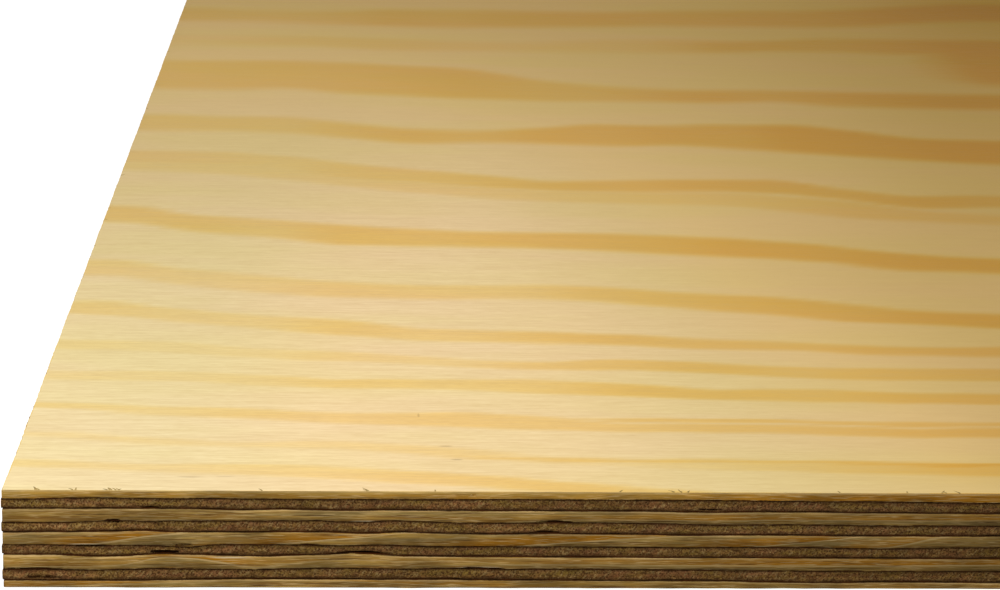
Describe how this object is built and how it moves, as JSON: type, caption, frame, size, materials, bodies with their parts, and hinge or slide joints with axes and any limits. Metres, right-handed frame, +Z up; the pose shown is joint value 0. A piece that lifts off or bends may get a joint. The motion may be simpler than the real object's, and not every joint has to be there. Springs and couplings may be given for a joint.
{
  "type": "plywood sheet",
  "caption": "Flat cross-laminated softwood plywood sheet with a clear pine face, for flooring, sheathing, formwork and furniture; square sawn edges show alternate veneers and dark glue lines.",
  "frame": {"origin": "middle of the underside of the sheet, on the surface that it lies on", "axes": "+X along the grain of the face, the sheet's length; +Y across it, the sheet's width; +Z up, out of the good face"},
  "size_m": [2.44, 1.22, 0.024],
  "materials": {
    "face_veneer": "satin",
    "centre_ply": "matte",
    "crossband": "matte",
    "back_veneer": "satin",
    "glue_line": "matte"
  },
  "bodies": {
    "root": {"face_veneer": "face_veneer", "crossband_1": "crossband", "centre_ply_1": "centre_ply", "crossband_2": "crossband", "centre_ply_2": "centre_ply", "crossband_3": "crossband", "centre_ply_3": "centre_ply", "crossband_4": "crossband", "back_veneer": "back_veneer", "glue_line_1": "glue_line", "glue_line_2": "glue_line", "glue_line_3": "glue_line", "glue_line_4": "glue_line", "glue_line_5": "glue_line", "glue_line_6": "glue_line", "glue_line_7": "glue_line", "glue_line_8": "glue_line"}
  },
  "joints": []
}
